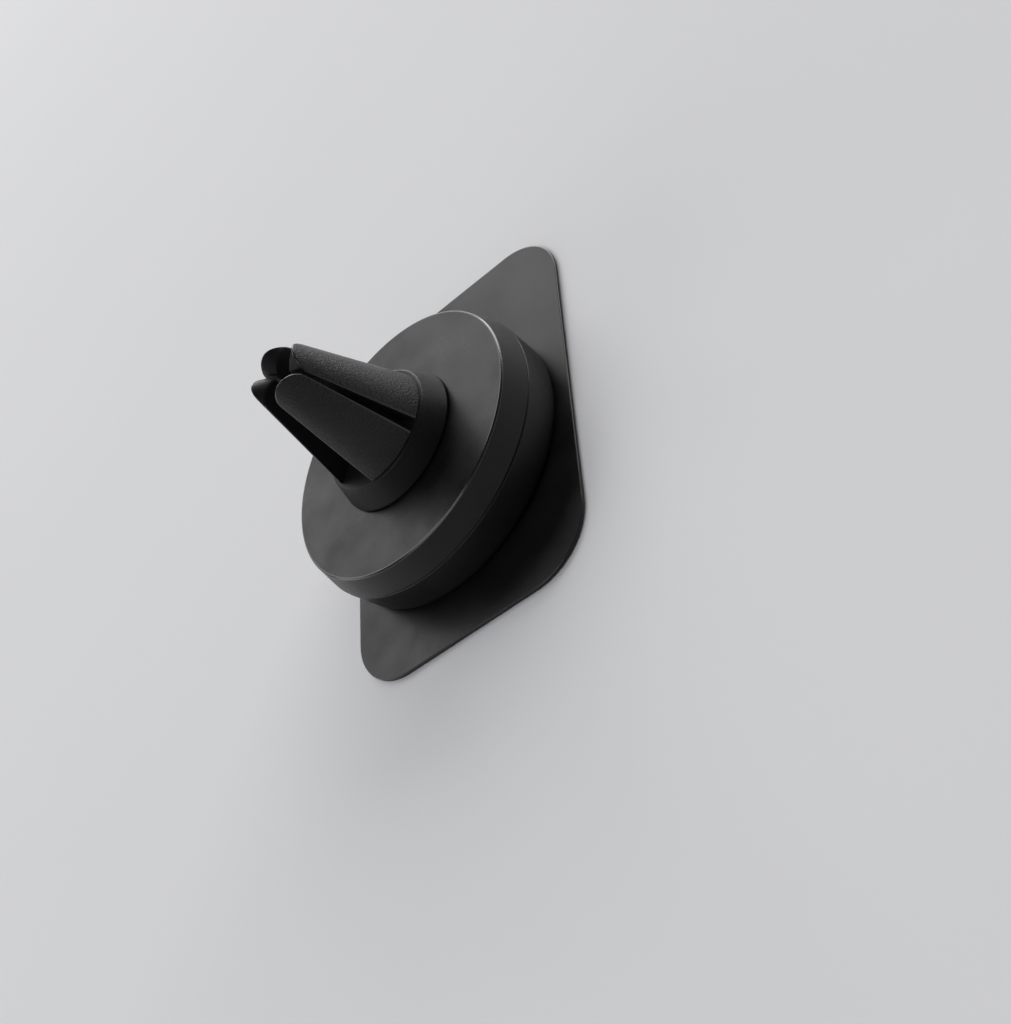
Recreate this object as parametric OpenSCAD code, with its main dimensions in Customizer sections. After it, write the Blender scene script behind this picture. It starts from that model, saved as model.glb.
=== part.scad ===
// Magnetic phone mount for a car's air vent, in millimetres.
// +Z runs along the head's axis, from the phone to the clip's tips. The origin is on
// that axis, in the plane of the adhesive that sticks to the phone.

/* [Phone plate] */
// Length of the steel plate, along Y
plate_length = 65; // [56:1:80]
// Width of the steel plate, along X
plate_width = 45; // [45:1:60]
// Corner radius of the steel plate
plate_corner_r = 10; // [4:0.5:14]
// Thickness of the steel plate
plate_t = 0.55; // [0.3:0.05:1]
// Thickness of the adhesive under the plate
adhesive_t = 0.25; // [0.15:0.05:0.5]
// Gap from the plate's edge to the adhesive's edge
adhesive_inset = 0.6; // [0.2:0.1:2]
// How far the plate's middle lies from the head's axis, along X
plate_shift_x = 1.8; // [0:0.1:3]
// How far the plate's middle lies from the head's axis, along Y
plate_shift_y = 2.7; // [0:0.1:5]

/* [Magnetic head] */
// Outer diameter at the parting line
head_d = 45.2; // [44.4:0.2:48]
// Outer diameter of the rear face
head_rear_d = 43.2; // [43:0.1:43.9]
// Outer diameter of the front face, before its edge is rounded
head_front_d = 44; // [43.4:0.1:44.2]
// Height of the head
head_h = 10.8; // [10.5:0.05:12]
// Height of the parting line above the plate
parting_h = 6.6; // [6.4:0.05:6.8]
// Width of the groove at the parting line
parting_gap = 0.12; // [0.08:0.02:0.2]
// Radius of the front edge
front_edge_r = 1.6; // [1:0.1:2]
// Radius of the rear rim
rear_edge_r = 0.45; // [0.2:0.05:0.8]
// Wall thickness of the rear shell
shell_t = 1.6; // [1.2:0.1:1.8]
// Thickness of the rubber face in front of the magnets
face_t = 1.2; // [0.8:0.1:1.3]

/* [Magnets] */
// Number of magnets
magnet_count = 6; // [6:6]
// Diameter of a magnet
magnet_d = 10; // [8:0.5:10]
// Thickness of a magnet
magnet_t = 3; // [2:0.5:3]
// Radius of the ring of magnets
magnet_ring_r = 12; // [12:0.1:12.4]
// Thickness of the steel yoke
yoke_t = 1; // [0.6:0.1:1]

/* [Vent clip] */
// Turn of the clip about the head's axis, in degrees
clip_turn = -30; // [-180:1:180]
// Diameter at the foot of the collar
collar_foot_d = 22.4; // [21:0.1:24]
// Diameter at the top of the collar
collar_top_d = 19.4; // [18.8:0.1:20]
// Height from the head to the top of the collar
collar_h = 4.1; // [4:0.1:5]
// Gap under the collar
collar_gap = 0.2; // [0.1:0.05:0.3]
// Height of a prong above the collar
prong_h = 19; // [14:0.2:20]
// Distance from the axis to a prong's outer face, at its foot
prong_foot_r = 9.2; // [8:0.05:9.25]
// Distance from the axis to a prong's outer face, at its tip
prong_tip_r = 4.5; // [4:0.05:5]
// Width of the narrow slot at the collar
narrow_slot_foot = 1.9; // [1.2:0.1:2.4]
// Width of the narrow slot at the tips
narrow_slot_tip = 0.25; // [0.2:0.05:1]
// Width of the wide slot at the collar
wide_slot_foot = 7.3; // [5:0.1:7.6]
// Width of the wide slot at the tips
wide_slot_tip = 2.7; // [2:0.1:4]
// Radius of a prong's round tip
prong_tip_round_r = 3.2; // [3:0.05:3.5]
// Slope of a prong's end face, down towards the axis, in degrees
prong_tip_slope = 32; // [26:1:38]

/* [Fasteners] */
// Diameter of the pivot screw's shank
pivot_d = 3; // [2.5:0.1:3.2]
// Radial running clearance round the pivot screw
pivot_clearance = 0.05; // [0.02:0.01:0.1]
// Diameter of a shell screw's shank
shell_screw_d = 2.2; // [1.8:0.1:2.4]
// Distance from the axis to a shell screw
shell_screw_ring_r = 17.4; // [17.2:0.1:17.5]

/* [Hidden] */
$fn = 96;

black_rubber = [0.09, 0.09, 0.10];
black_plastic = [0.13, 0.13, 0.14];
black_coat = [0.15, 0.15, 0.16];
dark_nylon = [0.24, 0.24, 0.25];
nickel = [0.72, 0.72, 0.70];
zinc = [0.62, 0.63, 0.65];
tape_grey = [0.35, 0.35, 0.36];

far = 40;
cut = 0.5;
slip = 0.02;
flange_t = 0.3;

// Heights, from the phone upwards
plate_top = adhesive_t + plate_t;
head_bottom = plate_top;
face_top = head_bottom + face_t;
parting_z = head_bottom + parting_h;
cap_top = parting_z - flange_t / 2;
flange_top = parting_z + flange_t / 2;
lip_bottom = cap_top + parting_gap;
head_top = head_bottom + head_h;
ceiling_z = head_top - shell_t;
magnet_top = face_top + magnet_t;
yoke_top = magnet_top + yoke_t;
collar_bottom = head_top + collar_gap;
collar_top = head_top + collar_h;
core_top = collar_top - 1.6;
prong_top = collar_top + prong_h;

// Head
head_r = head_d / 2;
cap_t = 1.7;
carrier_r = head_front_d / 2 - cap_t;
carrier_wall_t = 1.5;
flange_r = head_r - 0.45;
carrier_hub_r = 4.6;
yoke_r = magnet_ring_r + magnet_d / 2 + 0.2;
boss_r = 2.3;
centre_boss_r = 4;
centre_boss_h = 0.9;

// Pivot
pivot_r = pivot_d / 2;
washer_t = 0.6;
washer_r = 4;
pivot_head_r = 2.8;
pivot_head_h = 1.8;
washer_top = ceiling_z - centre_boss_h;
washer_bottom = washer_top - washer_t;
ring_seat_depth = 0.4;
ring_seat_r = 8.2;
ring_r = 8;
ring_bore_r = 2.2;
core_r = 8;
core_flange_t = 0.8;

// Shell screws
screw_r = shell_screw_d / 2;
screw_head_r = 2;
screw_head_h = 1.3;
screw_count = 3;
screw_head_z = face_top + 0.2;
screw_tip_z = ceiling_z - 0.4;

// Prongs, in the clip's own frame: the wide slot's faces look along X
prong_angle = 36.8;
tip_centre = prong_top * cos(prong_tip_slope) - prong_tip_r * sin(prong_tip_slope)
    - prong_tip_round_r;

function on_ring(radius, angle) = [radius * cos(angle), radius * sin(angle), 0];
function magnet_angle(index) = 360 / magnet_count * (index - 1);
function screw_angle(index) = 30 + 360 / screw_count * index;

module disc(r, z0, z1)
    translate([0, 0, z0]) cylinder(r = r, h = z1 - z0);

module ring(r_outer, r_inner, z0, z1)
    difference() {
        disc(r_outer, z0, z1);
        disc(r_inner, z0 - cut, z1 + cut);
    }

module rounded_plate(length, width, radius, z0, z1)
    translate([plate_shift_x, plate_shift_y, z0])
        linear_extrude(z1 - z0) {
            square([width - 2 * radius, length], center = true);
            square([width, length - 2 * radius], center = true);
            for (x = [-1, 1], y = [-1, 1])
                translate([x * (width / 2 - radius), y * (length / 2 - radius)])
                    circle(radius);
        }

module at_screws()
    for (index = [0 : screw_count - 1])
        translate(on_ring(shell_screw_ring_r, screw_angle(index)))
            children();

// Cross recess of a screw head that faces down, cut from z upwards
module cross_recess(z, size, depth)
    for (turn = [0, 90])
        rotate([0, 0, turn])
            translate([-size / 2, -size / 10, z - cut])
                cube([size, size / 5, depth + cut]);

module plate_adhesive()
    color(tape_grey)
        rounded_plate(plate_length - 2 * adhesive_inset, plate_width - 2 * adhesive_inset,
            plate_corner_r - adhesive_inset, 0, adhesive_t);

module steel_plate()
    color(black_coat)
        rounded_plate(plate_length, plate_width, plate_corner_r, adhesive_t, plate_top);

// Quarter disc in the profile's plane, for a rounded edge centred on [r, z]
module edge_round(r, z, radius, side)
    intersection() {
        translate([r, z]) circle(radius);
        translate([r, side > 0 ? z : z - radius]) square(radius);
    }

module front_cap() {
    front_r = head_front_d / 2;
    color(black_rubber)
        rotate_extrude()
            difference() {
                union() {
                    polygon([
                        [0, head_bottom],
                        [front_r - front_edge_r, head_bottom],
                        [front_r - front_edge_r, head_bottom + front_edge_r],
                        [front_r, head_bottom + front_edge_r],
                        [head_r, cap_top],
                        [0, cap_top]
                    ]);
                    edge_round(front_r - front_edge_r, head_bottom + front_edge_r,
                        front_edge_r, -1);
                }
                translate([-cut, face_top])
                    square([carrier_r + slip + cut, far]);
            }
}

module magnet_carrier()
    color(black_plastic)
        difference() {
            union() {
                disc(carrier_r, face_top, flange_top);
                disc(flange_r, cap_top, flange_top);
            }
            disc(carrier_r - carrier_wall_t, yoke_top, flange_top + cut);
            disc(yoke_r + slip, magnet_top, flange_top + cut);
            disc(carrier_hub_r, face_top + 0.8, flange_top);
            for (index = [1 : magnet_count])
                translate(on_ring(magnet_ring_r, magnet_angle(index)))
                    disc(magnet_d / 2 + slip, face_top - cut, flange_top);
            at_screws() {
                disc(screw_head_r + 0.15, face_top - cut, screw_head_z + screw_head_h);
                disc(screw_r + 0.15, face_top - cut, flange_top);
                disc(boss_r + 0.1, magnet_top, flange_top + cut);
            }
        }

module magnet(index)
    color(nickel)
        translate(on_ring(magnet_ring_r, magnet_angle(index)))
            disc(magnet_d / 2, face_top, magnet_top);

module yoke_plate()
    color(zinc)
        difference() {
            disc(yoke_r, magnet_top, yoke_top);
            disc(carrier_hub_r, magnet_top - cut, yoke_top + cut);
            at_screws() disc(boss_r + 0.4, magnet_top - cut, yoke_top + cut);
        }

module shell_screws()
    color(zinc)
        at_screws()
            difference() {
                union() {
                    disc(screw_head_r, screw_head_z, screw_head_z + screw_head_h);
                    disc(screw_r, screw_head_z, screw_tip_z);
                }
                cross_recess(screw_head_z, 2.4, 0.8);
            }

module rear_shell() {
    rear_r = head_rear_d / 2;
    inner_r = head_r - shell_t - 0.9;
    color(black_plastic)
        difference() {
            union() {
                rotate_extrude()
                    difference() {
                        union() {
                            polygon([
                                [0, flange_top],
                                [flange_r + slip, flange_top],
                                [flange_r + slip, lip_bottom],
                                [head_r, lip_bottom],
                                [rear_r, head_top - rear_edge_r],
                                [rear_r - rear_edge_r, head_top - rear_edge_r],
                                [rear_r - rear_edge_r, head_top],
                                [0, head_top]
                            ]);
                            edge_round(rear_r - rear_edge_r, head_top - rear_edge_r,
                                rear_edge_r, 1);
                        }
                        translate([-cut, flange_top - cut])
                            square([inner_r + cut, ceiling_z - flange_top + cut]);
                    }
                disc(centre_boss_r, washer_top, ceiling_z + cut);
                at_screws() disc(boss_r, magnet_top + slip, ceiling_z + cut);
            }
            disc(ring_seat_r, head_top - ring_seat_depth, head_top + cut);
            disc(pivot_r + pivot_clearance, washer_top - cut, head_top + cut);
            at_screws() disc(screw_r + slip, magnet_top - cut, screw_tip_z + 0.2);
        }
}

module friction_ring()
    color(dark_nylon)
        ring(ring_r, ring_bore_r, head_top - ring_seat_depth, collar_bottom);

module pivot_screw()
    color(zinc)
        difference() {
            union() {
                disc(pivot_head_r, washer_bottom - pivot_head_h, washer_bottom);
                disc(pivot_r, washer_bottom - 0.1, core_top - 0.4);
            }
            cross_recess(washer_bottom - pivot_head_h, 3.2, 1.1);
        }

module pivot_washer()
    color(zinc)
        ring(washer_r, pivot_r + slip, washer_bottom, washer_top);

module clip_core()
    color(dark_nylon)
        difference() {
            union() {
                disc(core_r, collar_bottom, collar_bottom + core_flange_t);
                disc(core_r - 1.4, collar_bottom, core_top);
            }
            disc(pivot_r + slip, collar_bottom - cut, core_top - 0.2);
        }

module clip_collar() {
    foot_r = collar_foot_d / 2;
    top_r = collar_top_d / 2;
    edge_r = 0.4;
    color(black_rubber)
        rotate_extrude()
            difference() {
                union() {
                    polygon([
                        [0, collar_bottom],
                        [foot_r, collar_bottom],
                        [top_r, collar_top - edge_r],
                        [top_r - edge_r, collar_top - edge_r],
                        [top_r - edge_r, collar_top],
                        [0, collar_top]
                    ]);
                    edge_round(top_r - edge_r, collar_top - edge_r, edge_r, 1);
                }
                translate([-cut, collar_bottom - cut])
                    square([core_r + slip + cut, core_flange_t + slip + cut]);
                translate([-cut, collar_bottom - cut])
                    square([core_r - 1.4 + slip + cut, core_top - collar_bottom + slip + cut]);
            }
}

// What lies outside a slot whose faces lean together towards the tips
module beside_slot(foot_width, tip_width, turn)
    rotate([90, 0, turn])
        linear_extrude(far, center = true)
            polygon([
                [foot_width / 2, collar_top],
                [far, collar_top],
                [far, prong_top],
                [tip_width / 2, prong_top]
            ]);

// The prong between the clip's +X and +Y axes
module prong_shape()
    intersection() {
        translate([0, 0, collar_top])
            cylinder(r1 = prong_foot_r, r2 = prong_tip_r, h = prong_h);
        beside_slot(wide_slot_foot, wide_slot_tip, 0);
        beside_slot(narrow_slot_foot, narrow_slot_tip, 90);
        rotate([0, 0, prong_angle])
            rotate([0, -prong_tip_slope, 0])
                rotate([90, 0, 90])
                    linear_extrude(2 * far, center = true)
                        union() {
                            translate([-far / 2, tip_centre - far]) square(far);
                            translate([0, tip_centre]) circle(prong_tip_round_r);
                        }
    }

module prong(side_x, side_y)
    color(black_rubber)
        rotate([0, 0, clip_turn])
            mirror([side_x < 0 ? 1 : 0, 0, 0])
                mirror([0, side_y < 0 ? 1 : 0, 0])
                    prong_shape();

plate_adhesive();
steel_plate();
front_cap();
magnet_carrier();
magnet(1);  // magnet_1
magnet(2);  // magnet_2
magnet(3);  // magnet_3
magnet(4);  // magnet_4
magnet(5);  // magnet_5
magnet(6);  // magnet_6
yoke_plate();
shell_screws();
rear_shell();
friction_ring();
pivot_screw();
pivot_washer();
clip_core();
clip_collar();
prong(1, 1);  // prong_1
prong(-1, 1);  // prong_2
prong(-1, -1);  // prong_3
prong(1, -1);  // prong_4
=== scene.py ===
import math

import bmesh
import bpy
import numpy as np
from mathutils import Matrix, Vector


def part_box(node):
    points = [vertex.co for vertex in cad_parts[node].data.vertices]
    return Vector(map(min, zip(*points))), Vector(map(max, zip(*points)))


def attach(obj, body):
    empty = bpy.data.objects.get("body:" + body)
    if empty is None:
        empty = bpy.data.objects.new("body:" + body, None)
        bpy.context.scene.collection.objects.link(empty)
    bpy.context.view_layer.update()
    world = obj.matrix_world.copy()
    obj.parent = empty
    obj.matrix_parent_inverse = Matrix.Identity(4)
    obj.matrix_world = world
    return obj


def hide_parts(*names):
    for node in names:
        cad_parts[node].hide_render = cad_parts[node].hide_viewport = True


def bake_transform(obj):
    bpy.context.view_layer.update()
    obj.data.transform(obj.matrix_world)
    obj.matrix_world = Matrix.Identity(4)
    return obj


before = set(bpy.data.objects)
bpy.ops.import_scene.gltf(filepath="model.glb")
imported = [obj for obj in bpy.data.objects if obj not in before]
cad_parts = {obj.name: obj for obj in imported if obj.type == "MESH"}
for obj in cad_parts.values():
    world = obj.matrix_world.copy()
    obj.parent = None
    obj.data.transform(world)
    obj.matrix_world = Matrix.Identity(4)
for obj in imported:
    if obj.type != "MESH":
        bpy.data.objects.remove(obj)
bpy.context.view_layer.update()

# Lengths are in millimetres, and MM turns them into Blender's metres.
MM = 0.001


def box_mm(node):
    """Lowest and highest corner of a CAD node, in millimetres."""
    low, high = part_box(node)
    return low / MM, high / MM


# Places read from the frame
PLATE_LOW, PLATE_HIGH = box_mm("steel_plate")
PAD_LOW, PAD_HIGH = box_mm("plate_adhesive")
CAP_LOW, CAP_HIGH = box_mm("front_cap")
SHELL_LOW, SHELL_HIGH = box_mm("rear_shell")
COLLAR_LOW, COLLAR_HIGH = box_mm("clip_collar")
SCREW_HIGH = box_mm("shell_screws")[1]
CARRIER_HIGH = box_mm("magnet_carrier")[1]
WASHER_HIGH = box_mm("pivot_washer")[1]

HEAD_R = CAP_HIGH.x
HEAD_TOP = SHELL_HIGH.z
COLLAR_TOP = COLLAR_HIGH.z

# Phone plate
PLATE_CORNER_R = 10
PLATE_TOP_ROLL = 0.16
PLATE_BURR_R = 0.05
# Faces of the plate's rolled edge in this band of slopes get the painted highlight material.
PLATE_HIGHLIGHT_SLOPES = (0.1, 0.97)
PAD_EDGE_R = 0.06
PAD_CORNER_R = 9.4
FLAT_FACE_INSET = 6

# Head
CAP_FRONT_R = 22
CAP_FRONT_EDGE_R = 1.6
CAP_RIM_EDGE_R = 0.26
CAP_MOUTH_EDGE_R = 0.12
CAP_FACE_T = 1.2
CAP_BORE_R = 20.32
CAP_BORE_END_R = 0.2
SHELL_REAR_R = 21.6
SHELL_WALL_T = 1.6
SHELL_BORE_R = 20.1
SHELL_BORE_END_R = 0.5
SHELL_MOUTH_EDGE_R = 0.15
SHELL_LIP_BORE_R = 22.17
LIP_INNER_EDGE_R = 0.03
LIP_OUTER_EDGE_R = 0.06
PARTING_GAP = 0.12
RIM_CHAMFER = 0.19
RIM_EDGE_R = 0.06
RIM_HIGHLIGHT_REACH = 0.35
RING_SEAT_R = 8.2
RING_SEAT_DEPTH = 0.4
RING_SEAT_EDGE_R = 0.08
PIVOT_BORE_R = 1.55
PIVOT_BORE_EDGE_R = 0.1
CENTRE_BOSS_R = 4
CENTRE_BOSS_EDGE_R = 0.2
CENTRE_BOSS_ROOT_R = 0.3
BOSS_R = 2.3
BOSS_EDGE_R = 0.2
BOSS_ROOT_OVERLAP = 0.4
BOSS_BORE_R = 1.12
BOSS_BORE_EDGE_R = 0.15
BOSS_BORE_END_R = 0.1
SCREW_TIP_ROOM = 0.2
BOSS_RING_R = 17.4
BOSS_ANGLES = (30, 150, 270)

# Clip
CLIP_TURN = -30
COLLAR_TOP_R = 9.7
COLLAR_TOP_EDGE_R = 0.4
COLLAR_FOOT_EDGE_R = 0.2
COLLAR_BORE_EDGE_R = 0.1
COLLAR_BORE_R = 6.62
COLLAR_STEP_R = 8.02
COLLAR_STEP_T = 0.82
COLLAR_ROOF_T = 1.58
PRONG_FOOT_R = 9.2
PRONG_TIP_R = 4.5
NARROW_SLOT = (1.9, 0.25)
WIDE_SLOT = (7.3, 2.7)
PRONG_ANGLE = math.radians(36.8)
PRONG_COSINE = math.cos(PRONG_ANGLE)
PRONG_SINE = math.sin(PRONG_ANGLE)
PRONG_ROUND_R = 3.2
PRONG_SLOPE = math.radians(32)
PRONG_EDGE_R = 0.22
PRONG_RIDGE_R = 0.45
PRONG_SIDES = {1: (1, 1), 2: (-1, 1), 3: (-1, -1), 4: (1, -1)}
PRONG_EDGE_COLUMNS = 4
PRONG_EDGE_ROWS = 5

# A piece's materials by number
# Slot 1 of the shell and the plate holds the lighter, glossier edge material: a painted highlight
# along their edges.
PAINTED_HIGHLIGHT_SLOT = 1
# On a prong, slot 1 holds the lighter slot rubber, which is painted light in the shaded slots. Slot
# 2 holds the edge material, which is a painted highlight.
OUTER_SIDE, INNER_SIDE, PRONG_EDGE = 0, 1, 2
PRONG_TOP = max(box_mm(f"prong_{index}")[1].z for index in PRONG_SIDES)

# Fineness of the meshes
HEAD_SEGMENTS = 240
CLIP_SEGMENTS = 160
BOSS_SEGMENTS = 48
CORNER_STEPS = 24
ARC_STEPS = 8
SUPPORT = 0.12
SHORTEST_FLAT = 3 * SUPPORT
PRONG_COLUMNS = 48
PRONG_ROWS = 56
PRONG_TIP_ROWS = 24
SETTLE_STEPS = 40
SURFACE_STEPS = 6
SLOPE_STEP = 1e-4
SHARP_ANGLE = math.radians(40)
SAME_PLACE_M = 1e-7


# ---------------------------------------------------------------- mesh work

def rounded_path(corners, closed):
    """A path of (r, z) points through corners (r, z, radius), each corner rounded by an arc.

    A support point beside each arc keeps the flat stretches flat when they are shaded smooth.
    """
    points = []
    count = len(corners)
    for index, (r, z, radius) in enumerate(corners):
        here = Vector((r, z))
        is_end = not closed and index in (0, count - 1)
        if radius == 0 or is_end:
            points.append(here)
            continue
        before = Vector(corners[index - 1][:2]) - here
        after = Vector(corners[(index + 1) % count][:2]) - here
        half_angle = before.angle(after) / 2
        reach = radius / math.tan(half_angle)
        centre = here + (before.normalized() + after.normalized()).normalized() * (
            radius / math.sin(half_angle))
        start = here + before.normalized() * reach
        end = here + after.normalized() * reach
        turn = (start - centre).angle_signed(end - centre)
        if before.length > reach + SHORTEST_FLAT:
            points.append(start + before.normalized() * SUPPORT)
        for step in range(ARC_STEPS + 1):
            arm = start - centre
            arm.rotate(Matrix.Rotation(-turn * step / ARC_STEPS, 2))
            points.append(centre + arm)
        if after.length > reach + SHORTEST_FLAT:
            points.append(end + after.normalized() * SUPPORT)
    return points


def mesh_from_grid(name, grid, wrap_rows):
    """A closed mesh over rows of points in millimetres; each row is a ring. Open ends are capped."""
    mesh = bmesh.new()
    rows = [[mesh.verts.new(Vector(point) * MM) for point in row] for row in grid]
    last = len(rows) if wrap_rows else len(rows) - 1
    for row in range(last):
        near, far = rows[row], rows[(row + 1) % len(rows)]
        for index in range(len(near)):
            following = (index + 1) % len(near)
            mesh.faces.new((near[index], near[following], far[following], far[index]))
    if not wrap_rows:
        for row in (rows[0], rows[-1]):
            if (row[0].co - row[len(row) // 2].co).length > SAME_PLACE_M:
                mesh.faces.new(row)
    return object_from_bmesh(name, mesh)


def object_from_bmesh(name, mesh):
    """Welds, turns the faces outwards, shades smooth but for sharp edges, and makes the object."""
    bmesh.ops.remove_doubles(mesh, verts=mesh.verts, dist=SAME_PLACE_M)
    bmesh.ops.recalc_face_normals(mesh, faces=mesh.faces)
    data = bpy.data.meshes.new(name)
    mesh.to_mesh(data)
    mesh.free()
    data.shade_smooth()
    data.set_sharp_from_angle(angle=SHARP_ANGLE)
    piece = bpy.data.objects.new(name, data)
    bpy.context.scene.collection.objects.link(piece)
    return piece


def lathe(name, corners, segments, closed=False, centre=(0, 0)):
    """A turned piece. An open profile starts and ends on the axis."""
    turns = [math.tau * index / segments for index in range(segments)]
    grid = [
        [(centre[0] + r * math.cos(turn), centre[1] + r * math.sin(turn), z) for turn in turns]
        for r, z in rounded_path(corners, closed)
    ]
    return mesh_from_grid(name, grid, closed)


def rounded_rectangle(low, high, corner_r, inset, z):
    """A ring of points round a rounded rectangle, inset from its outline."""
    centre = (low + high) / 2
    half = (high - low) / 2
    radius = corner_r - inset
    ring = []
    for quarter in range(4):
        side_x = 1 if quarter in (0, 3) else -1
        side_y = 1 if quarter in (0, 1) else -1
        corner_x = centre.x + side_x * (half.x - corner_r)
        corner_y = centre.y + side_y * (half.y - corner_r)
        for step in range(CORNER_STEPS + 1):
            turn = math.radians(90) * (quarter + step / CORNER_STEPS)
            x = corner_x + radius * math.cos(turn)
            y = corner_y + radius * math.sin(turn)
            ring.append((x, y, z))
    return ring


def plate(name, low, high, corner_r, top_edge_r, bottom_edge_r):
    """A flat rounded-rectangle piece with rounded edges."""
    corners = [
        (FLAT_FACE_INSET, low.z, 0),
        (0, low.z, bottom_edge_r),
        (0, high.z, top_edge_r),
        (FLAT_FACE_INSET, high.z, 0),
    ]
    grid = [
        rounded_rectangle(low, high, corner_r, inset, z)
        for inset, z in rounded_path(corners, closed=False)
    ]
    return mesh_from_grid(name, grid, wrap_rows=False)


def join_solids(piece, others):
    """Fuses closed pieces into one with a boolean union, and removes the others."""
    for other in others:
        union = piece.modifiers.new("union", "BOOLEAN")
        union.operation = "UNION"
        union.solver = "EXACT"
        union.object = other
    graph = bpy.context.evaluated_depsgraph_get()
    fused = bpy.data.meshes.new_from_object(piece.evaluated_get(graph))
    piece.modifiers.clear()
    piece.data = fused
    for other in others:
        bpy.data.objects.remove(other)
    return piece


# ---------------------------------------------------------------- pieces of the head and collar

def make_front_cap():
    """The soft cup that touches the plate."""
    inner_face = CAP_LOW.z + CAP_FACE_T
    return lathe(
        "front_cap_skin",
        [
            (0, CAP_LOW.z, 0),
            (CAP_FRONT_R, CAP_LOW.z, CAP_FRONT_EDGE_R),
            (HEAD_R, CAP_HIGH.z, CAP_RIM_EDGE_R),
            (CAP_BORE_R, CAP_HIGH.z, CAP_MOUTH_EDGE_R),
            (CAP_BORE_R, inner_face, CAP_BORE_END_R),
            (0, inner_face, 0),
        ],
        HEAD_SEGMENTS,
    )


def make_boss(angle, ceiling):
    """One hollow boss that hangs from the shell's ceiling and takes a shell screw."""
    root = ceiling + BOSS_ROOT_OVERLAP
    bore_end = SCREW_HIGH.z + SCREW_TIP_ROOM
    turn = math.radians(angle)
    return lathe(
        "boss",
        [
            (0, root, 0),
            (BOSS_R, root, 0),
            (BOSS_R, SHELL_LOW.z, BOSS_EDGE_R),
            (BOSS_BORE_R, SHELL_LOW.z, BOSS_BORE_EDGE_R),
            (BOSS_BORE_R, bore_end, BOSS_BORE_END_R),
            (0, bore_end, 0),
        ],
        BOSS_SEGMENTS,
        centre=(BOSS_RING_R * math.cos(turn), BOSS_RING_R * math.sin(turn)),
    )


def make_rear_shell():
    """The head's plastic shell, with its lip over the carrier and its screw bosses inside."""
    ceiling = HEAD_TOP - SHELL_WALL_T
    shell_bottom = CARRIER_HIGH.z
    lip_bottom = CAP_HIGH.z + PARTING_GAP
    seat = HEAD_TOP - RING_SEAT_DEPTH
    shell = lathe(
        "rear_shell_skin",
        [
            (SHELL_BORE_R, shell_bottom, SHELL_MOUTH_EDGE_R),
            (SHELL_LIP_BORE_R, shell_bottom, 0),
            (SHELL_LIP_BORE_R, lip_bottom, LIP_INNER_EDGE_R),
            (HEAD_R, lip_bottom, LIP_OUTER_EDGE_R),
            (SHELL_REAR_R, HEAD_TOP - RIM_CHAMFER, RIM_EDGE_R),
            (SHELL_REAR_R - RIM_CHAMFER, HEAD_TOP, RIM_EDGE_R),
            (RING_SEAT_R, HEAD_TOP, RING_SEAT_EDGE_R),
            (RING_SEAT_R, seat, 0),
            (PIVOT_BORE_R, seat, PIVOT_BORE_EDGE_R),
            (PIVOT_BORE_R, WASHER_HIGH.z, PIVOT_BORE_EDGE_R),
            (CENTRE_BOSS_R, WASHER_HIGH.z, CENTRE_BOSS_EDGE_R),
            (CENTRE_BOSS_R, ceiling, CENTRE_BOSS_ROOT_R),
            (SHELL_BORE_R, ceiling, SHELL_BORE_END_R),
        ],
        HEAD_SEGMENTS,
        closed=True,
    )
    return join_solids(shell, [make_boss(angle, ceiling) for angle in BOSS_ANGLES])


def make_collar():
    """The clip's conical rubber foot, open below for its core."""
    roof = COLLAR_TOP - COLLAR_ROOF_T
    step = COLLAR_LOW.z + COLLAR_STEP_T
    return lathe(
        "clip_collar_skin",
        [
            (0, COLLAR_TOP, 0),
            (COLLAR_TOP_R, COLLAR_TOP, COLLAR_TOP_EDGE_R),
            (COLLAR_HIGH.x, COLLAR_LOW.z, COLLAR_FOOT_EDGE_R),
            (COLLAR_STEP_R, COLLAR_LOW.z, COLLAR_BORE_EDGE_R),
            (COLLAR_STEP_R, step, 0),
            (COLLAR_BORE_R, step, COLLAR_BORE_EDGE_R),
            (COLLAR_BORE_R, roof, COLLAR_BORE_EDGE_R),
            (0, roof, 0),
        ],
        CLIP_SEGMENTS,
    )


# ---------------------------------------------------------------- prongs
# A prong is worked out between the clip's +X and +Y axes. rho runs outwards through its
# middle, u across it, and z up. Its end face is part of a cylinder whose axis rises outwards.

TIP_CENTRE = (
    PRONG_TOP * math.cos(PRONG_SLOPE) - PRONG_TIP_R * math.sin(PRONG_SLOPE) - PRONG_ROUND_R)


def along_prong(z, foot, tip):
    """A value that changes evenly from a prong's foot to its tip."""
    return foot + (tip - foot) * (z - COLLAR_TOP) / (PRONG_TOP - COLLAR_TOP)


def half_slots(z):
    """Half the width of the wide slot, and of the narrow slot, at a height."""
    return along_prong(z, *WIDE_SLOT) / 2, along_prong(z, *NARROW_SLOT) / 2


def to_clip(rho, u, z):
    """Points of the prong's own directions as an array of x, y, z in the clip's frame."""
    x = rho * PRONG_COSINE - u * PRONG_SINE
    y = rho * PRONG_SINE + u * PRONG_COSINE
    return np.stack([x, y, z], axis=-1)


def prong_edges(z):
    """Where the outer face meets the narrow slot and the wide slot: two values of u."""
    radius = along_prong(z, PRONG_FOOT_R, PRONG_TIP_R)
    wide, narrow = half_slots(z)
    at_narrow = narrow * PRONG_COSINE - np.sqrt(radius**2 - narrow**2) * PRONG_SINE
    at_wide = np.sqrt(radius**2 - wide**2) * PRONG_COSINE - wide * PRONG_SINE
    return at_narrow, at_wide


def outer_rho(u, z):
    """Distance of the outer face from the axis, along rho."""
    return np.sqrt(along_prong(z, PRONG_FOOT_R, PRONG_TIP_R)**2 - u**2)


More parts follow.
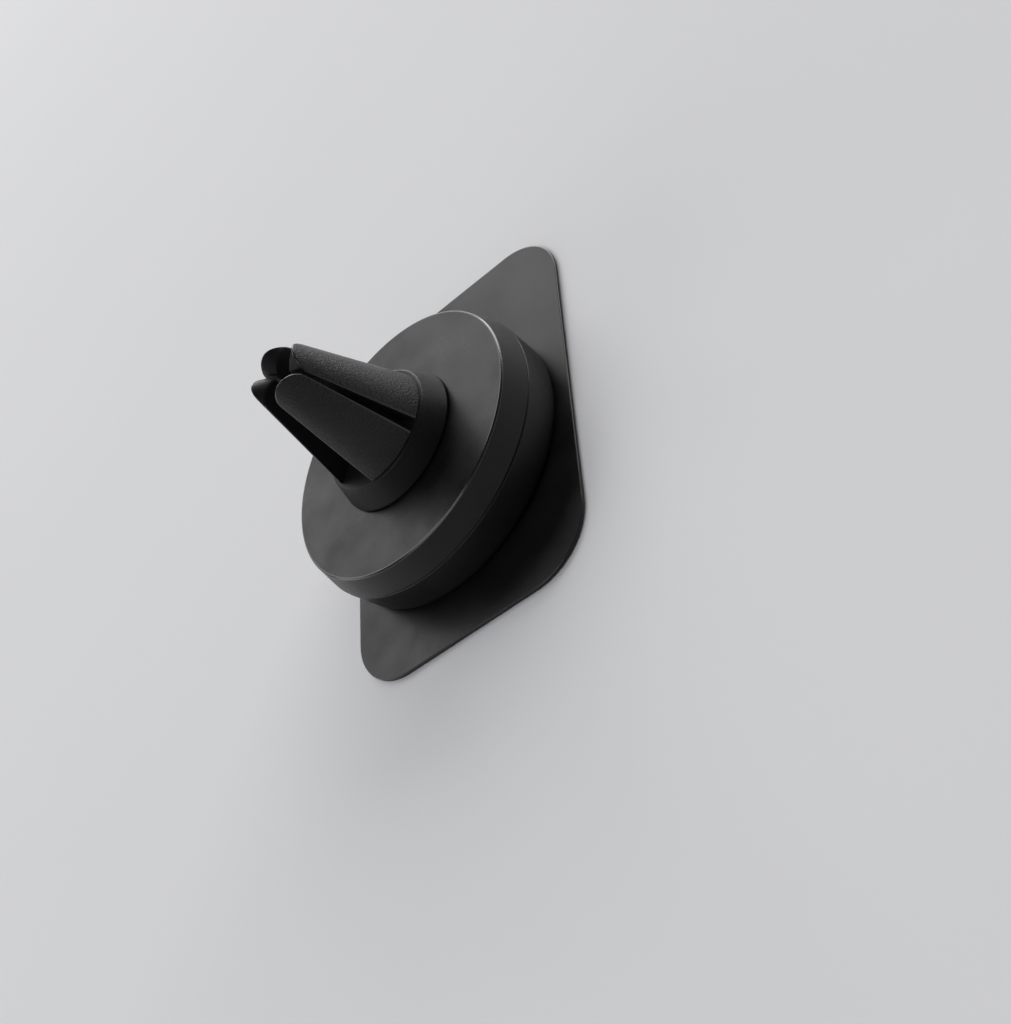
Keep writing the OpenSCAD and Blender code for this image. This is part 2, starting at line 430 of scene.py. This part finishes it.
def inner_rho(u, z):
    """Distance of the slots' faces from the axis, along rho."""
    wide, narrow = half_slots(z)
    wide_face = (wide + u * PRONG_SINE) / PRONG_COSINE
    narrow_face = (narrow - u * PRONG_COSINE) / PRONG_SINE
    return np.maximum(wide_face, narrow_face)


def ridge_u(z):
    """Where the two slots' faces meet, as a value of u."""
    wide, narrow = half_slots(z)
    return narrow * PRONG_COSINE - wide * PRONG_SINE


def tip_height(rho, u):
    """Height of the end face at a point of the plan."""
    arch = np.sqrt(np.clip(PRONG_ROUND_R**2 - u**2, 0, None))
    return (TIP_CENTRE + arch + rho * math.sin(PRONG_SLOPE)) / math.cos(PRONG_SLOPE)


def side_tops():
    """Heights where the narrow slot's edge and the wide slot's edge meet the end face."""
    tops = []
    for side in (0, 1):
        z = PRONG_TOP - PRONG_ROUND_R
        for _ in range(SETTLE_STEPS):
            u = prong_edges(z)[side]
            z = tip_height(outer_rho(u, z), u)
        tops.append(z)
    return tops


def rounded_corner(first, second, radius):
    """Distance to the inside of two surfaces at once, with the edge between them rounded."""
    return np.hypot(np.maximum(first + radius, 0), np.maximum(second + radius, 0)) - radius


def prong_distance(points):
    """About how far points lie outside the prong whose edges are rounded."""
    x, y, z = points[..., 0], points[..., 1], points[..., 2]
    u = y * PRONG_COSINE - x * PRONG_SINE
    rho = x * PRONG_COSINE + y * PRONG_SINE
    outer = np.hypot(x, y) - along_prong(z, PRONG_FOOT_R, PRONG_TIP_R)
    wide, narrow = half_slots(z)
    above = z * math.cos(PRONG_SLOPE) - rho * math.sin(PRONG_SLOPE) - TIP_CENTRE
    tip = np.hypot(u, np.maximum(above, 0)) - PRONG_ROUND_R + 2 * np.minimum(above, 0)
    slots = rounded_corner(wide - x, narrow - y, PRONG_RIDGE_R)
    return rounded_corner(rounded_corner(slots, tip, PRONG_EDGE_R), outer, PRONG_EDGE_R)


def onto_prong(points):
    """Moves points straight onto the surface of the prong whose edges are rounded."""
    steps = SLOPE_STEP * np.eye(3)
    for _ in range(SURFACE_STEPS):
        slope = np.stack([
            prong_distance(points + step) - prong_distance(points - step) for step in steps
        ], axis=-1) / (2 * SLOPE_STEP)
        length_squared = np.sum(slope**2, axis=-1, keepdims=True)
        points = points - prong_distance(points)[..., None] * slope / length_squared
    return points


def face_points(face_rho, middle):
    """u and z of a face's grid. Rows run from the collar to the end face and columns across.

    face_rho(u, z) is the face's distance from the axis, and middle(z) its middle column's u.
    """
    across = np.linspace(-1, 1, PRONG_COLUMNS + 1)
    share = np.sin(np.linspace(0, math.pi / 2, PRONG_ROWS + 1))[:, None]
    tops = side_tops()
    low_side, high_side = (COLLAR_TOP + (top - COLLAR_TOP) * share for top in tops)
    limit = np.where(across < 0, prong_edges(low_side)[0], prong_edges(high_side)[1])
    straight_top = tops[0] + (tops[1] - tops[0]) * (across + 1) / 2
    reach = (1 - np.cos(across * math.pi)) / 2
    z = COLLAR_TOP + (straight_top - COLLAR_TOP) * share
    for _ in range(SETTLE_STEPS):
        centre = middle(z)
        u = centre + (limit - centre) * reach
        arch = tip_height(face_rho(u[-1], z[-1]), u[-1]) - straight_top
        z = COLLAR_TOP + (straight_top - COLLAR_TOP) * share + arch * share**3
    return u, z


def prong_sheet():
    """Rows of points over a prong: up its outer face, over its end face and down its slots."""
    outer_u, outer_z = face_points(outer_rho, lambda z: 0 * z)
    inner_u, inner_z = face_points(inner_rho, ridge_u)
    outer = to_clip(outer_rho(outer_u, outer_z), outer_u, outer_z)
    inner = to_clip(inner_rho(inner_u, inner_z), inner_u, inner_z)
    shares = (1 - np.cos(np.linspace(0, math.pi, PRONG_TIP_ROWS + 1))) / 2
    tip = [outer[-1] * (1 - share) + inner[-1] * share for share in shares[1:-1]]
    outer, tip, inner = (onto_prong(np.array(grid)) for grid in (outer, tip, inner))
    outer[0, :, 2] = COLLAR_TOP
    inner[0, :, 2] = COLLAR_TOP
    for side in (0, -1):
        inner[:, side] = outer[:, side]
    return np.concatenate([outer, tip, inner[::-1]])


def place_sheet(sheet, index):
    """Mirrors a prong's sheet to its own corner of the clip, and turns it with the clip."""
    turn = math.radians(CLIP_TURN)
    side_x, side_y = PRONG_SIDES[index]
    sheet = sheet * (side_x, side_y, 1)
    x = sheet[..., 0] * math.cos(turn) - sheet[..., 1] * math.sin(turn)
    y = sheet[..., 0] * math.sin(turn) + sheet[..., 1] * math.cos(turn)
    return np.stack([x, y, sheet[..., 2]], axis=-1)


def prong_material(row, column):
    """Which of a prong's materials the face at a row and column has."""
    from_side = min(column, PRONG_COLUMNS - 1 - column)
    from_end = abs(row + 0.5 - PRONG_ROWS)
    # Faces along a prong's sides and over its end get the lighter edge material, a painted highlight
    # line.
    if from_side < PRONG_EDGE_COLUMNS or from_end < PRONG_EDGE_ROWS:
        return PRONG_EDGE
    return OUTER_SIDE if row < PRONG_ROWS else INNER_SIDE


def make_prong(index, sheet):
    """A prong with rounded edges, closed by a flat foot on the collar."""
    mesh = bmesh.new()
    placed = place_sheet(sheet, index)
    rows = [[mesh.verts.new(Vector(point) * MM) for point in row] for row in placed]
    for number, (near, far) in enumerate(zip(rows, rows[1:])):
        for column in range(PRONG_COLUMNS):
            face = mesh.faces.new((near[column], near[column + 1], far[column + 1], far[column]))
            face.material_index = prong_material(number, column)
    mesh.faces.new(rows[0] + rows[-1][::-1]).material_index = INNER_SIDE
    return object_from_bmesh(f"prong_{index}_skin", mesh)


# ---------------------------------------------------------------- materials

# Noise stays mostly between these two values.
NOISE_LOW = 0.3
NOISE_HIGH = 0.7

SMUDGE_SIZE = 7
SMUDGE_DETAIL = 4
FINE_RATIO = 0.5
FINE_DETAIL = 2
GRAIN_GLOSS = 0.05
PIT_SMOOTHNESS = 0.5
METAL_PATCH_SIZE = 3
METAL_PATCH_DETAIL = 3
METAL_GLOSS_CHANGE = 0.06
METAL_GRAIN_DEPTH = 0.004


def start_material(name):
    """A node material, its shader, and the object's own coordinates in metres."""
    material = bpy.data.materials.new(name)
    material.use_nodes = True
    shader = material.node_tree.nodes["Principled BSDF"]
    place = material.node_tree.nodes.new("ShaderNodeTexCoord").outputs["Object"]
    return material, shader, place


def link(material, output, target):
    """Joins a node's output to another node's input."""
    material.node_tree.links.new(output, target)


def texture_node(material, place, kind, size):
    """A texture node whose features are about size millimetres across."""
    nodes = material.node_tree.nodes
    mapping = nodes.new("ShaderNodeMapping")
    mapping.inputs["Scale"].default_value = [1 / (size * MM)] * 3
    texture = nodes.new(kind)
    texture.inputs["Scale"].default_value = 1
    link(material, place, mapping.inputs["Vector"])
    link(material, mapping.outputs["Vector"], texture.inputs["Vector"])
    return texture


def noise(material, place, size, detail):
    """Cloudy noise from 0 to 1."""
    texture = texture_node(material, place, "ShaderNodeTexNoise", size)
    texture.inputs["Detail"].default_value = detail
    return texture.outputs["Fac"]


def cells(material, place, size):
    """Close-packed round pits from 0 upwards, about size millimetres apart."""
    texture = texture_node(material, place, "ShaderNodeTexVoronoi", size)
    texture.feature = "SMOOTH_F1"
    texture.inputs["Smoothness"].default_value = PIT_SMOOTHNESS
    return texture.outputs["Distance"]


def remap(material, value, low, high):
    """Noise turned into a value from low to high."""
    node = material.node_tree.nodes.new("ShaderNodeMapRange")
    node.inputs["From Min"].default_value = NOISE_LOW
    node.inputs["From Max"].default_value = NOISE_HIGH
    node.inputs["To Min"].default_value = low
    node.inputs["To Max"].default_value = high
    link(material, value, node.inputs["Value"])
    return node.outputs["Result"]


def add(material, first, second):
    """The sum of two outputs."""
    node = material.node_tree.nodes.new("ShaderNodeMath")
    node.operation = "ADD"
    link(material, first, node.inputs[0])
    link(material, second, node.inputs[1])
    return node.outputs[0]


def tint(material, value, dark, light):
    """A colour between dark and light."""
    node = material.node_tree.nodes.new("ShaderNodeMix")
    node.data_type = "RGBA"
    node.inputs["A"].default_value = (*dark, 1)
    node.inputs["B"].default_value = (*light, 1)
    link(material, value, node.inputs["Factor"])
    return node.outputs["Result"]


def bump(material, height, depth, below=None):
    """Bumps depth millimetres high, on top of the bumps below."""
    node = material.node_tree.nodes.new("ShaderNodeBump")
    node.inputs["Strength"].default_value = 1
    node.inputs["Distance"].default_value = depth * MM
    link(material, height, node.inputs["Height"])
    if below is not None:
        link(material, below, node.inputs["Normal"])
    return node.outputs["Normal"]


def moulded(name, dark, light, roughness, grain, depth, smudge=0.04, specular=0.30):
    """Moulded plastic or rubber: smudges in colour and gloss, and pits grain millimetres apart."""
    material, shader, place = start_material(name)
    clouds = noise(material, place, SMUDGE_SIZE, SMUDGE_DETAIL)
    fine = noise(material, place, grain * FINE_RATIO, FINE_DETAIL)
    pits = cells(material, place, grain)
    colour = tint(material, remap(material, clouds, 0, 1), dark, light)
    link(material, colour, shader.inputs["Base Color"])
    smudges = remap(material, clouds, roughness - smudge, roughness + smudge)
    grain_gloss = remap(material, fine, -GRAIN_GLOSS, GRAIN_GLOSS)
    link(material, add(material, smudges, grain_gloss), shader.inputs["Roughness"])
    surface = bump(material, fine, depth * FINE_RATIO)
    surface = bump(material, pits, depth, surface)
    link(material, surface, shader.inputs["Normal"])
    shader.inputs["Specular IOR Level"].default_value = specular
    return material


def metal(name, dark, light, roughness, grain):
    """Plated or cast metal with a faint grain."""
    material, shader, place = start_material(name)
    patches = noise(material, place, METAL_PATCH_SIZE, METAL_PATCH_DETAIL)
    fine = noise(material, place, grain, FINE_DETAIL)
    colour = tint(material, remap(material, patches, 0, 1), dark, light)
    link(material, colour, shader.inputs["Base Color"])
    gloss = remap(material, fine, roughness - METAL_GLOSS_CHANGE, roughness + METAL_GLOSS_CHANGE)
    link(material, gloss, shader.inputs["Roughness"])
    link(material, bump(material, fine, METAL_GRAIN_DEPTH), shader.inputs["Normal"])
    shader.inputs["Metallic"].default_value = 1
    return material


def grey(value, warmth=0.0):
    """A near-neutral linear colour."""
    return (value * (1 + warmth), value, value * (1 - warmth))


HEAD_PLASTIC = moulded(
    "head_plastic", grey(0.0060), grey(0.0084),
    roughness=0.37, grain=0.30, depth=0.006, smudge=0.09)
CAP_RUBBER = moulded(
    "cap_rubber", grey(0.0060), grey(0.0080),
    roughness=0.46, grain=0.30, depth=0.010)
CLIP_RUBBER = moulded(
    "clip_rubber", grey(0.0066), grey(0.0090),
    roughness=0.46, grain=0.30, depth=0.014, specular=0.19)
PRONG_RUBBER = moulded(
    "prong_rubber", grey(0.0066), grey(0.0092),
    roughness=0.33, grain=0.25, depth=0.052, specular=0.44)
# Lighter than the prongs' outer rubber: painted light on the slot faces, which lie in shade between
# the prongs.
SLOT_RUBBER_PAINTED_LIGHT = moulded(
    "slot_rubber_painted_light", grey(0.0090), grey(0.0115),
    roughness=0.46, grain=0.30, depth=0.010, specular=0.14)
# Lighter and glossier than the surfaces beside it; its lighter colour is a painted highlight along
# the shell's rim, the plate's rolled edge and the prongs' edges.
EDGE_PAINTED_HIGHLIGHT = moulded(
    "edge_painted_highlight", grey(0.0080), grey(0.0110),
    roughness=0.24, grain=0.30, depth=0.004, specular=0.60)
PLATE_COAT = moulded(
    "plate_coat", grey(0.0062, warmth=0.06), grey(0.0084, warmth=0.06),
    roughness=0.38, grain=0.25, depth=0.005, smudge=0.07)
FOAM_TAPE = moulded("foam_tape", grey(0.05), grey(0.08), roughness=0.8, grain=0.4, depth=0.03)
NYLON = moulded("nylon", grey(0.05), grey(0.06), roughness=0.5, grain=0.2, depth=0.004)
NICKEL = metal("nickel", (0.60, 0.58, 0.54), (0.70, 0.68, 0.64), roughness=0.22, grain=0.3)
ZINC = metal("zinc_steel", (0.50, 0.52, 0.54), (0.62, 0.64, 0.66), roughness=0.34, grain=0.25)

CAD_MATERIALS = {
    "magnet_carrier": HEAD_PLASTIC,
    "yoke_plate": ZINC,
    "shell_screws": ZINC,
    "friction_ring": NYLON,
    "pivot_screw": ZINC,
    "pivot_washer": ZINC,
    "clip_core": NYLON,
}
CAD_MATERIALS.update({f"magnet_{index}": NICKEL for index in range(1, 7)})


# ---------------------------------------------------------------- the object

def paint_rim_highlight(piece, r, z, reach):
    """Gives the lighter, glossier edge material, a painted highlight, to a turned piece's faces near
    the edge at r, z, in millimetres.
    """
    for face in piece.data.polygons:
        centre = face.center / MM
        if abs(math.hypot(centre.x, centre.y) - r) < reach and abs(centre.z - z) < reach:
            face.material_index = PAINTED_HIGHLIGHT_SLOT


def paint_rolled_edge_highlight(piece, low_slope, high_slope):
    """Gives the lighter, glossier edge material, a painted highlight line, to faces whose normal's
    height is between two values.
    """
    for face in piece.data.polygons:
        if low_slope < face.normal.z < high_slope:
            face.material_index = PAINTED_HIGHLIGHT_SLOT


def finish_piece(piece, node, materials):
    """Gives a piece its materials and its finish, in place of its CAD node."""
    for material in materials:
        piece.data.materials.append(material)
    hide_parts(node)
    return piece


steel_plate = plate(
    "steel_plate_skin", PLATE_LOW, PLATE_HIGH, PLATE_CORNER_R, PLATE_TOP_ROLL, PLATE_BURR_R)
adhesive = plate("plate_adhesive_skin", PAD_LOW, PAD_HIGH, PAD_CORNER_R, PAD_EDGE_R, PAD_EDGE_R)
front_cap = make_front_cap()
rear_shell = make_rear_shell()
collar = make_collar()
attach(finish_piece(steel_plate, "steel_plate", [PLATE_COAT, EDGE_PAINTED_HIGHLIGHT]), "plate")
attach(finish_piece(adhesive, "plate_adhesive", [FOAM_TAPE]), "plate")
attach(finish_piece(front_cap, "front_cap", [CAP_RUBBER]), "head")
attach(finish_piece(rear_shell, "rear_shell", [HEAD_PLASTIC, EDGE_PAINTED_HIGHLIGHT]), "head")
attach(finish_piece(collar, "clip_collar", [CLIP_RUBBER]), "clip")
# The plate's rolled edge and the shell's rim get the painted highlight material.
paint_rolled_edge_highlight(steel_plate, *PLATE_HIGHLIGHT_SLOPES)
paint_rim_highlight(rear_shell, SHELL_REAR_R, HEAD_TOP, RIM_HIGHLIGHT_REACH)

one_sheet = prong_sheet()
for number in PRONG_SIDES:
    prong = finish_piece(
        make_prong(number, one_sheet), f"prong_{number}", [PRONG_RUBBER, SLOT_RUBBER_PAINTED_LIGHT, EDGE_PAINTED_HIGHLIGHT])
    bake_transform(prong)

for node_name, node_material in CAD_MATERIALS.items():
    for material_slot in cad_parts[node_name].material_slots:
        material_slot.material = node_material


# ---------------------------------------------------------------- studio

# Lengths here are in metres, angles in degrees and lamp powers in watts.
FLOOR_SIDE = 2.4
FLOOR_DROP = 0.00002
FLOOR_DARK = 0.92
FLOOR_LIGHT = 0.94
FLOOR_MOTTLE_MM = 60
FLOOR_ROUGHNESS = 0.9
FLOOR_SPECULAR = 0.1
WORLD_STRENGTH = 0.07
BACKDROP_STRENGTH = 0.75
LAMP_DISTANCE = 2.2
LAMP_TARGET = Vector((0.002, 0.002, 0.012))
WHITE = (1, 1, 1)
COOL = (0.93, 0.94, 1.0)
CAMERA_AZIMUTH = -50.72
CAMERA_ELEVATION = 34.76
CAMERA_ROLL = -59.74
CAMERA_DISTANCE = 0.2515
CAMERA_TARGET = Vector((0.0061, -0.0087, -0.0038))
CAMERA_LENS_MM = 61.17
CAMERA_SENSOR_MM = 36
CAMERA_NEAREST = 0.01
CAMERA_FARTHEST = 20


def make_floor():
    """A plain pale floor under the part."""
    mesh = bmesh.new()
    half = FLOOR_SIDE / 2
    corners = [(-half, -half), (half, -half), (half, half), (-half, half)]
    mesh.faces.new([mesh.verts.new((x, y, -FLOOR_DROP)) for x, y in corners])
    floor = object_from_bmesh("floor", mesh)
    material, shader, place = start_material("floor_paint")
    mottle = noise(material, place, FLOOR_MOTTLE_MM, FINE_DETAIL)
    colour = tint(material, mottle, grey(FLOOR_DARK), grey(FLOOR_LIGHT))
    link(material, colour, shader.inputs["Base Color"])
    shader.inputs["Roughness"].default_value = FLOOR_ROUGHNESS
    shader.inputs["Specular IOR Level"].default_value = FLOOR_SPECULAR
    floor.data.materials.append(material)


def direction(azimuth, elevation):
    """Unit vector, with azimuth measured from +X towards +Y."""
    a, e = math.radians(azimuth), math.radians(elevation)
    return Vector((math.cos(a) * math.cos(e), math.sin(a) * math.cos(e), math.sin(e)))


def softbox(name, azimuth, elevation, width, height, power, colour=WHITE):
    """A large soft lamp that faces the part."""
    lamp = bpy.data.lights.new(name, "AREA")
    lamp.shape = "RECTANGLE"
    lamp.size = width
    lamp.size_y = height
    lamp.energy = power
    lamp.color = colour
    holder = bpy.data.objects.new(name, lamp)
    towards = direction(azimuth, elevation)
    holder.location = LAMP_TARGET + towards * LAMP_DISTANCE
    holder.rotation_euler = towards.to_track_quat("Z", "Y").to_euler()
    bpy.context.scene.collection.objects.link(holder)


def make_world():
    """Dim light from all round, which the camera alone sees as a pale backdrop."""
    world = bpy.data.worlds.new("studio")
    world.use_nodes = True
    nodes = world.node_tree.nodes
    seen = nodes.new("ShaderNodeMapRange")
    seen.inputs["To Min"].default_value = WORLD_STRENGTH
    seen.inputs["To Max"].default_value = BACKDROP_STRENGTH
    rays = nodes.new("ShaderNodeLightPath")
    background = nodes["Background"]
    background.inputs["Color"].default_value = (*WHITE, 1)
    link(world, rays.outputs["Is Camera Ray"], seen.inputs["Value"])
    link(world, seen.outputs["Result"], background.inputs["Strength"])
    bpy.context.scene.world = world


def make_camera():
    """The camera at the viewing angle, rolled about its own axis."""
    data = bpy.data.cameras.new("camera")
    data.lens = CAMERA_LENS_MM
    data.sensor_width = CAMERA_SENSOR_MM
    data.clip_start = CAMERA_NEAREST
    data.clip_end = CAMERA_FARTHEST
    camera = bpy.data.objects.new("camera", data)
    towards = direction(CAMERA_AZIMUTH, CAMERA_ELEVATION)
    level = towards.to_track_quat("Z", "Y").to_matrix()
    roll = Matrix.Rotation(math.radians(CAMERA_ROLL), 3, "Z")
    camera.rotation_euler = (level @ roll).to_euler()
    camera.location = CAMERA_TARGET + towards * CAMERA_DISTANCE
    bpy.context.scene.collection.objects.link(camera)
    bpy.context.scene.camera = camera


make_floor()
make_world()
softbox("window", azimuth=80, elevation=13, width=3.3, height=0.93, power=54)
softbox("back_softbox", azimuth=134, elevation=37, width=2.2, height=1.45, power=19)
softbox("high_fill", azimuth=262, elevation=50, width=1.8, height=1.2, power=13.5, colour=COOL)
softbox("side_fill", azimuth=205, elevation=12, width=2.7, height=0.9, power=13, colour=COOL)
make_camera()
bpy.context.scene.view_settings.view_transform = "Standard"
